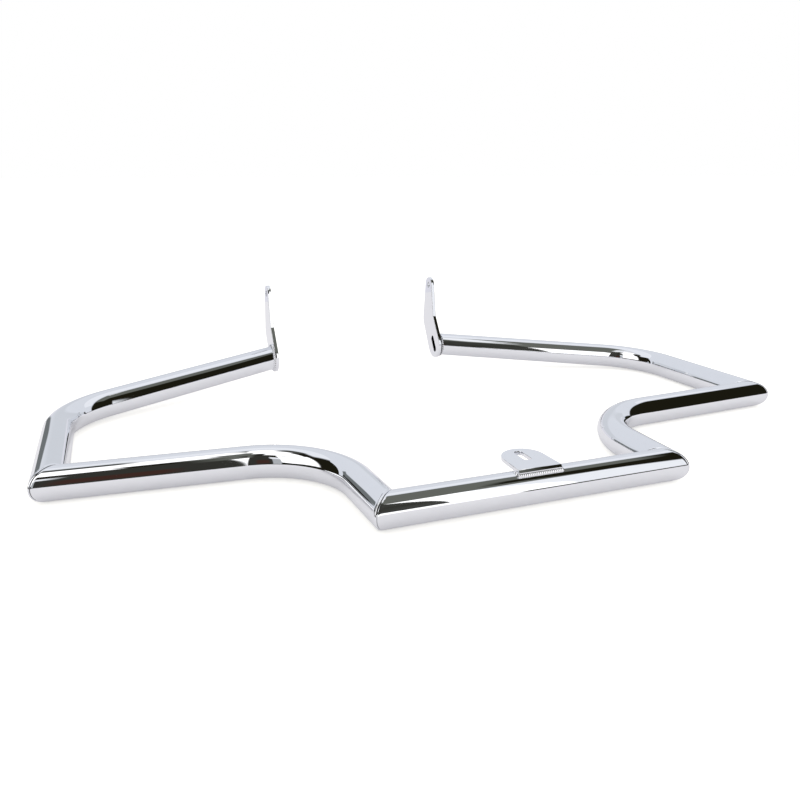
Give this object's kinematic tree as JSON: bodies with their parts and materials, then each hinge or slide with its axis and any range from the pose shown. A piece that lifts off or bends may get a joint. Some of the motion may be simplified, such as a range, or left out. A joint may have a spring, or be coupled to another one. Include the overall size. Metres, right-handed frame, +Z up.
{
  "type": "motorcycle crash bars",
  "caption": "Chromed crash bar loop for the front of a motorcycle, with mitred front corners, two upright end plates and a slotted centre tab.",
  "frame": {"origin": "middle of the part's footprint, on the floor that the loop lies on", "axes": "+X across the loop to the rider's right, +Y from the crossbar back to the end plates, +Z up, the way the end plates stand"},
  "size_m": [0.836, 0.5552, 0.1282],
  "materials": {
    "chrome": "polished chrome plate over steel",
    "chrome_weld": "chrome plate over a rippled weld"
  },
  "bodies": {
    "root": {"crossbar": "chrome", "left_wing_tube": "chrome", "right_wing_tube": "chrome", "left_arm_tube": "chrome", "right_arm_tube": "chrome", "left_lower_corner_weld": "chrome_weld", "right_lower_corner_weld": "chrome_weld", "left_outer_corner_weld": "chrome_weld", "right_outer_corner_weld": "chrome_weld", "left_end_plate": "chrome", "right_end_plate": "chrome", "left_plate_weld": "chrome_weld", "right_plate_weld": "chrome_weld", "centre_tab": "chrome", "tab_weld": "chrome_weld"}
  },
  "joints": []
}
